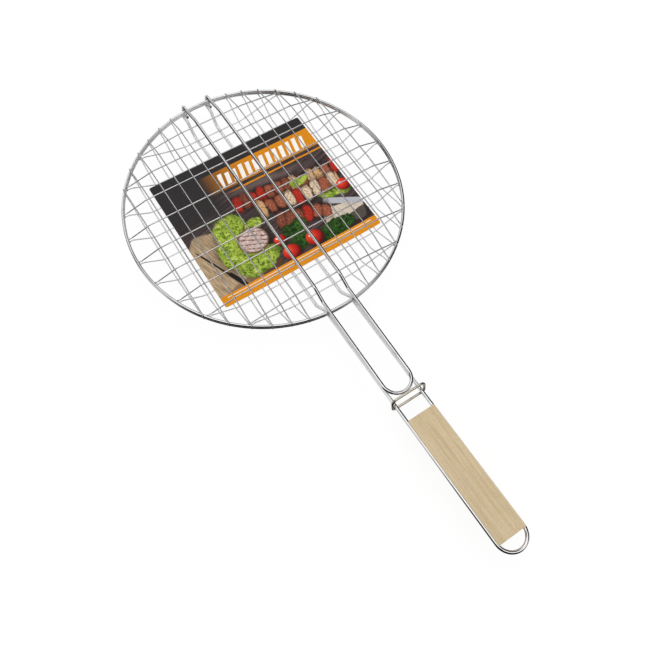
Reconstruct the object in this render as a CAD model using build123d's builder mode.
from build123d import *
import math
import os

# Round, hinged grill basket made of bright steel wire, with a wooden grip.
# Frame: +X runs from the hinge to the handle, +Y across, +Z up.  The origin is
# the centre of the round basket, on the plane that it rests on.  Millimetres.

# ---------------------------------------------------------------- dimensions
rim_d = 350.0            # outside diameter of both hoops
rim_wire = 3.5           # hoop wire
frame_wire = 4.2         # frame and handle wire
mesh_wire = 1.6          # grid wire
ring_wire = 3.0          # latch ring wire

touch = 0.02             # air left where two wires only touch
rim_gap = 0.06           # air between the two closed hoops

flat_r = 143.5           # radius of the flat middle of both grids
brim_r = 167.5           # radius where the grids level off at the hoops
lid_rise = 11.62         # lid grid, long wires, above the meeting plane
dish_drop = 19.82        # lower grid, long wires, below the meeting plane

cross_pitch = 34.2       # spacing of the wires across the basket
cross_count = 9
long_first = 41.2        # first long wire, from the middle
long_pitch = 20.16       # spacing of the long wires
long_per_side = 6

frame_half = 17.4        # half the distance between the two frame wires
tail_x = -172.4          # ends of the lower frame, under the hoop
tail_y = (-21.9, 13.0)   # both pass the hinge hooks on the same side
under_hinge_y = (-20.9, 12.6)     # the lower frame runs askew under the grid
under_grip_y = (-18.6, 16.2)
handle_rise_deg = 2.65   # slope of the lower handle rails
handle_start = 178.0     # where the slope begins
lid_u_end = 297.0        # tip of the lid's U-shaped handle
hook_sweep = 200.0       # how far the hooks curl round

wood_start = 326.9       # front face of the wooden grip
wood_length = 151.8
loop_inset = 2.6         # the end loop starts to bend this far inside the grip
wood_width = 34.8
wood_thick = 16.0
groove_clear = 0.05

ring_reach = 4.1         # latch ring centreline from the centre of each rail
ring_lean_deg = 14.0     # the ring leans, its top towards the basket
ring_shoulder = 7.2      # where the upper bends begin, above the rail centres
ring_shoulder_r = 6.0    # radius of the upper bends
ring_rest_x = 305.2      # unlatched, just clear of the lid's U

card_x = (-101.0, 97.0)
card_half_y = 112.0
card_thick = 0.5

# ------------------------------------------------------------ derived values
rim_r = rim_d / 2 - rim_wire / 2
layer = mesh_wire + touch
frame_low = dish_drop - layer + mesh_wire / 2 + frame_wire / 2 + touch
z_meet = frame_low + frame_wire / 2        # height of the plane where hoops meet
rim_off = rim_wire / 2 + rim_gap / 2       # hoop centre from the meeting plane
long_edge = rim_off + rim_wire / 2 + mesh_wire / 2 + touch
frame_edge = rim_off + rim_wire / 2 + frame_wire / 2 + touch
hook_r = frame_edge + rim_off              # centreline radius of the hinge hooks
slope = math.radians(handle_rise_deg)

os.makedirs("parts", exist_ok=True)


def save(built, name):
    built.part.label = name
    export_step(built.part, f"parts/{name}.step")


def sub(a, b):
    return (a[0] - b[0], a[1] - b[1], a[2] - b[2])


def add_scaled(a, b, k):
    return (a[0] + b[0] * k, a[1] + b[1] * k, a[2] + b[2] * k)


def unit(a):
    n = math.sqrt(sum(c * c for c in a))
    return (a[0] / n, a[1] / n, a[2] / n)


def cross(a, b):
    return (
        a[1] * b[2] - a[2] * b[1],
        a[2] * b[0] - a[0] * b[2],
        a[0] * b[1] - a[1] * b[0],
    )


def arc_about(centre, start, end, through):
    """One round bend, about its centre, on the side of the given point."""
    u = sub(start, centre)
    v = sub(end, centre)
    w = sub(through, centre)
    normal = unit(cross(u, w))
    x = sum(a * b for a, b in zip(u, v))
    y = sum(a * b for a, b in zip(cross(u, v), normal))
    turn = math.degrees(math.atan2(y, x))
    if turn <= 0:
        turn += 360.0
    return ("arc", start, end, centre, normal, turn)


def bent(points, radii):
    """Straight runs with a round bend at each inner point."""
    runs = []
    at = points[0]
    for i in range(1, len(points) - 1):
        p = points[i]
        u = unit(sub(points[i - 1], p))
        v = unit(sub(points[i + 1], p))
        cos_t = max(-1.0, min(1.0, sum(a * b for a, b in zip(u, v))))
        half = math.acos(cos_t) / 2
        if math.pi / 2 - half < 1e-4:
            continue
        back = radii[i - 1] / math.tan(half)
        t1 = add_scaled(p, u, back)
        t2 = add_scaled(p, v, back)
        mid_dir = unit((u[0] + v[0], u[1] + v[1], u[2] + v[2]))
        centre = add_scaled(p, mid_dir, radii[i - 1] / math.sin(half))
        if math.dist(at, t1) > 1e-6:
            runs.append(("line", at, t1))
        runs.append(arc_about(centre, t1, t2, add_scaled(centre, mid_dir, -radii[i - 1])))
        at = t2
    if math.dist(at, points[-1]) > 1e-6:
        runs.append(("line", at, points[-1]))
    return runs


def section_plane(run):
    if run[0] == "line":
        direction = unit(sub(run[2], run[1]))
    else:
        direction = unit(cross(run[4], sub(run[1], run[3])))
    return Plane(origin=run[1], z_dir=direction)


def wire_piece(name, runs, diameter):
    """A round wire: a bar for each straight run, a turned bar for each bend."""
    with BuildPart() as wire:
        for run in runs:
            with BuildSketch(section_plane(run)):
                Circle(diameter / 2)
            if run[0] == "line":
                extrude(amount=math.dist(run[1], run[2]))
            else:
                revolve(axis=Axis(run[3], run[4]), revolution_arc=run[5])
    save(wire, name)
    return wire


# ------------------------------------------------------------- grid profiles
def tilt_of(height):
    return math.atan((height - long_edge) / (brim_r - flat_r))


def profile(height, inner):
    """Radius and height corners of one layer of a dished grid.

    The long wires are the outer layer.  The cross wires lie one wire
    thickness inside them, measured square to the slope."""
    tilt = tilt_of(height)
    shift = layer * math.tan(tilt / 2) if inner else 0.0
    drop = layer if inner else 0.0
    return (
        (flat_r - shift, height - drop),
        (brim_r - shift, long_edge - drop),
    )


def grid_path(offset, height, inner, end_r):
    """Half-chord corners (distance along the wire, height) of a grid wire."""
    (r1, z1), (r2, z2) = profile(height, inner)
    s1 = math.sqrt(max(r1 * r1 - offset * offset, 0.0))
    s2 = math.sqrt(r2 * r2 - offset * offset)
    s3 = math.sqrt(end_r * end_r - offset * offset)
    grade = (z2 - z1) / (r2 - r1)

    def surf(s):
        r = math.hypot(s, offset)
        return z1 + grade * (r - r1)

    pieces = 1
    if abs(surf((s1 + s2) / 2) - (z1 + z2) / 2) > 0.12:
        pieces = 2
    if abs(surf((s1 + s2) / 2) - (z1 + z2) / 2) > 0.5:
        pieces = 4
    rows = [(s1, z1)]
    for k in range(1, pieces):
        s = s1 + (s2 - s1) * k / pieces
        rows.append((s, surf(s)))
    rows.append((s2, z2))
    rows.append((s3, z2))
    return rows


def bend_radii(rows, inner):
    """Bends kept so that the two layers never press into each other."""
    out = []
    for i in range(1, len(rows) - 1):
        reach = min(
            math.dist(rows[i - 1], rows[i]), math.dist(rows[i], rows[i + 1])
        )
        a = math.atan2(rows[i][1] - rows[i - 1][1], rows[i][0] - rows[i - 1][0])
        b = math.atan2(rows[i + 1][1] - rows[i][1], rows[i + 1][0] - rows[i][0])
        turn = abs(b - a)
        at_brim = i in (1, len(rows) - 2)
        wish = 12.0 if inner != at_brim else 5.0
        out.append(1.0 if turn < 1e-4 else min(wish, 0.42 * reach / math.tan(turn / 2)))
    return out


def grid_wire(name, along_x, offset, height, side, end_r):
    inner = not along_x
    half = grid_path(offset, height, inner, end_r)
    rows = [(-s, z) for s, z in reversed(half)] + half
    radii = bend_radii(rows, inner)
    points = []
    for s, z in rows:
        zz = z_meet + side * z
        points.append((s, offset, zz) if along_x else (offset, s, zz))
    wire_piece(name, bent(points, radii), mesh_wire)


# ---------------------------------------------------------------- both grids
long_offsets = [long_first + long_pitch * k for k in range(long_per_side)]
long_offsets = [-v for v in reversed(long_offsets)] + long_offsets
cross_offsets = [
    cross_pitch * (k - (cross_count - 1) / 2) for k in range(cross_count)
]
long_end_r = rim_d / 2 - 0.6          # long wires lie across the hoop
cross_end_r = rim_r - 0.95            # cross wires sink into the hoop's flank

for half_name, height, side in (("lower", dish_drop, -1), ("upper", lid_rise, 1)):
    for k, offset in enumerate(long_offsets, 1):
        grid_wire(f"{half_name}_long_wire_{k:02d}", True, offset, height, side, long_end_r)
    for k, offset in enumerate(cross_offsets, 1):
        grid_wire(f"{half_name}_cross_wire_{k:02d}", False, offset, height, side, cross_end_r)

# --------------------------------------------------------------------- hoops
with BuildPart() as lower_rim:
    with BuildSketch(Plane.XZ):
        with Locations((rim_r, z_meet - rim_off)):
            Circle(rim_wire / 2)
    revolve(axis=Axis.Z)
save(lower_rim, "lower_rim")

with BuildPart() as upper_rim:
    with BuildSketch(Plane.XZ):
        with Locations((rim_r, z_meet + rim_off)):
            Circle(rim_wire / 2)
    revolve(axis=Axis.Z)
save(upper_rim, "upper_rim")

# --------------------------------------------------------------- lower frame
z_low_flat = z_meet - frame_low
z_low_edge = z_meet - frame_edge
rail = (math.cos(slope), 0.0, math.sin(slope))
rail_origin = (handle_start, 0.0, z_low_edge)


def on_rail(x, y=0.0, up=0.0):
    """Point at station x on the sloping rails, y across, up square to them."""
    s = (x - handle_start) / math.cos(slope)
    return (
        handle_start + s * math.cos(slope) - up * math.sin(slope),
        y,
        z_low_edge + s * math.sin(slope) + up * math.cos(slope),
    )


loop_x = wood_start + (wood_length - loop_inset) * math.cos(slope)


def lower_side(k, rail_y):
    """One wire of the lower frame, from the hinge side to the hanging loop."""
    return [
        (tail_x, tail_y[k], z_low_edge),
        (-161.5, tail_y[k], z_low_edge),
        (-147.0, under_hinge_y[k], z_low_flat),
        (149.5, under_grip_y[k], z_low_flat),
        (166.5, rail_y, z_low_edge),
        (handle_start, rail_y, z_low_edge),
        on_rail(loop_x, rail_y),
    ]


side_a = lower_side(0, -frame_half)
side_b = list(reversed(lower_side(1, frame_half)))
bends = [5.0, 9.0, 9.0, 5.0, 40.0]
lower_runs = bent(side_a, bends)
lower_runs.append(
    arc_about(
        on_rail(loop_x),
        on_rail(loop_x, -frame_half),
        on_rail(loop_x, frame_half),
        on_rail(loop_x + frame_half * math.cos(slope)),
    )
)
lower_runs += bent(side_b, list(reversed(bends)))
lower_frame = wire_piece("lower_frame", lower_runs, frame_wire)

# ----------------------------------------------------------------- lid frame
# Each end curls round the lower hoop, and that loose hook is the hinge.
hinge_x = -rim_r
hinge_z = z_meet - rim_off
z_lid_flat = z_meet + lid_rise - layer + mesh_wire / 2 + frame_wire / 2 + touch
z_lid_edge = z_meet + frame_edge
hook_end = math.radians(90.0 + hook_sweep)


def on_hook(angle, y):
    return (
        hinge_x + hook_r * math.cos(angle),
        y,
        hinge_z + hook_r * math.sin(angle),
    )


u_start = lid_u_end - frame_half


def hook(y, outward):
    """Three fifths of a turn round the lower hoop, leaving or reaching the top."""
    centre = (hinge_x, y, hinge_z)
    tip = on_hook(hook_end, y)
    crown = on_hook(math.pi / 2, y)
    quarter = hook_end - math.pi / 4 if outward else 3 * math.pi / 4
    start, end = (tip, crown) if outward else (crown, tip)
    return arc_about(centre, start, end, on_hook(quarter, y))


side_a = [
    on_hook(math.pi / 2, -frame_half),
    (-169.5, -frame_half, z_lid_edge),
    (-141.0, -frame_half, z_lid_flat),
    (141.5, -frame_half, z_lid_flat),
    (160.0, -frame_half, z_lid_edge),
    (u_start, -frame_half, z_lid_edge),
]
side_b = [(p[0], -p[1], p[2]) for p in reversed(side_a)]
bends = [9.0, 9.0, 9.0, 9.0]
upper_runs = [hook(-frame_half, True)] + bent(side_a, bends)
upper_runs.append(
    arc_about(
        (u_start, 0.0, z_lid_edge),
        (u_start, -frame_half, z_lid_edge),
        (u_start, frame_half, z_lid_edge),
        (lid_u_end, 0.0, z_lid_edge),
    )
)
upper_runs += bent(side_b, bends) + [hook(frame_half, False)]
upper_frame = wire_piece("upper_frame", upper_runs, frame_wire)

# --------------------------------------------------------------- wooden grip
grip_plane = Plane(
    origin=on_rail(wood_start), x_dir=(0, 1, 0), z_dir=rail
)
with BuildPart() as wood_handle:
    with BuildSketch(grip_plane):
        Rectangle(wood_width, wood_thick)
    extrude(amount=wood_length)
    long_edges = wood_handle.edges().filter_by(
        lambda e: abs(e.length - wood_length) < 0.01
    )
    fillet(long_edges, radius=2.4)
    end_faces = wood_handle.faces().filter_by(
        lambda f: abs(abs(f.normal_at().dot(Vector(*rail))) - 1) < 1e-6
    )
    chamfer(end_faces.edges(), length=0.5)
    with BuildSketch(grip_plane):
        with Locations((-frame_half, 0), (frame_half, 0)):
            Circle(frame_wire / 2 + groove_clear)
    extrude(amount=wood_length - loop_inset, mode=Mode.SUBTRACT)
    with BuildSketch(Plane(origin=on_rail(loop_x), x_dir=(0, 1, 0), z_dir=rail)):
        with Locations((-frame_half, 0)):
            Circle(frame_wire / 2 + groove_clear)
    revolve(
        axis=Axis(on_rail(loop_x), (-math.sin(slope), 0, math.cos(slope))),
        revolution_arc=180,
        mode=Mode.SUBTRACT,
    )
save(wood_handle, "wood_handle")

# ---------------------------------------------------------------- latch ring
ring_lean = math.radians(ring_lean_deg)


def ring_point(across, up):
    """Point of the ring's leaning plane; up is measured along that plane."""
    x, y, z = on_rail(ring_rest_x, across, up * math.cos(ring_lean))
    back = up * math.sin(ring_lean)
    return (x - rail[0] * back, y, z - rail[2] * back)


side_y = frame_half + ring_reach
inner_y = side_y - ring_shoulder_r
ring_top = ring_shoulder + ring_shoulder_r
low_45 = math.sqrt(0.5) * ring_reach
top_45 = math.sqrt(0.5) * ring_shoulder_r
ring_runs = [
    ("line", ring_point(0, -ring_reach), ring_point(frame_half, -ring_reach)),
    arc_about(
        ring_point(frame_half, 0), ring_point(frame_half, -ring_reach),
        ring_point(side_y, 0), ring_point(frame_half + low_45, -low_45),
    ),
    ("line", ring_point(side_y, 0), ring_point(side_y, ring_shoulder)),
    arc_about(
        ring_point(inner_y, ring_shoulder), ring_point(side_y, ring_shoulder),
        ring_point(inner_y, ring_top),
        ring_point(inner_y + top_45, ring_shoulder + top_45),
    ),
    ("line", ring_point(inner_y, ring_top), ring_point(-inner_y, ring_top)),
    arc_about(
        ring_point(-inner_y, ring_shoulder), ring_point(-inner_y, ring_top),
        ring_point(-side_y, ring_shoulder),
        ring_point(-inner_y - top_45, ring_shoulder + top_45),
    ),
    ("line", ring_point(-side_y, ring_shoulder), ring_point(-side_y, 0)),
    arc_about(
        ring_point(-frame_half, 0), ring_point(-side_y, 0),
        ring_point(-frame_half, -ring_reach), ring_point(-frame_half - low_45, -low_45),
    ),
    ("line", ring_point(-frame_half, -ring_reach), ring_point(0, -ring_reach)),
]
latch_ring = wire_piece("latch_ring", ring_runs, ring_wire)

# --------------------------------------------------------------- printed card
card_low = z_meet - (dish_drop - layer) + mesh_wire / 2 + 0.03
with BuildPart() as display_card:
    with BuildSketch(Plane.XY.offset(card_low)):
        with Locations(((card_x[0] + card_x[1]) / 2, 0)):
            Rectangle(card_x[1] - card_x[0], 2 * card_half_y)
    extrude(amount=card_thick)
save(display_card, "display_card")
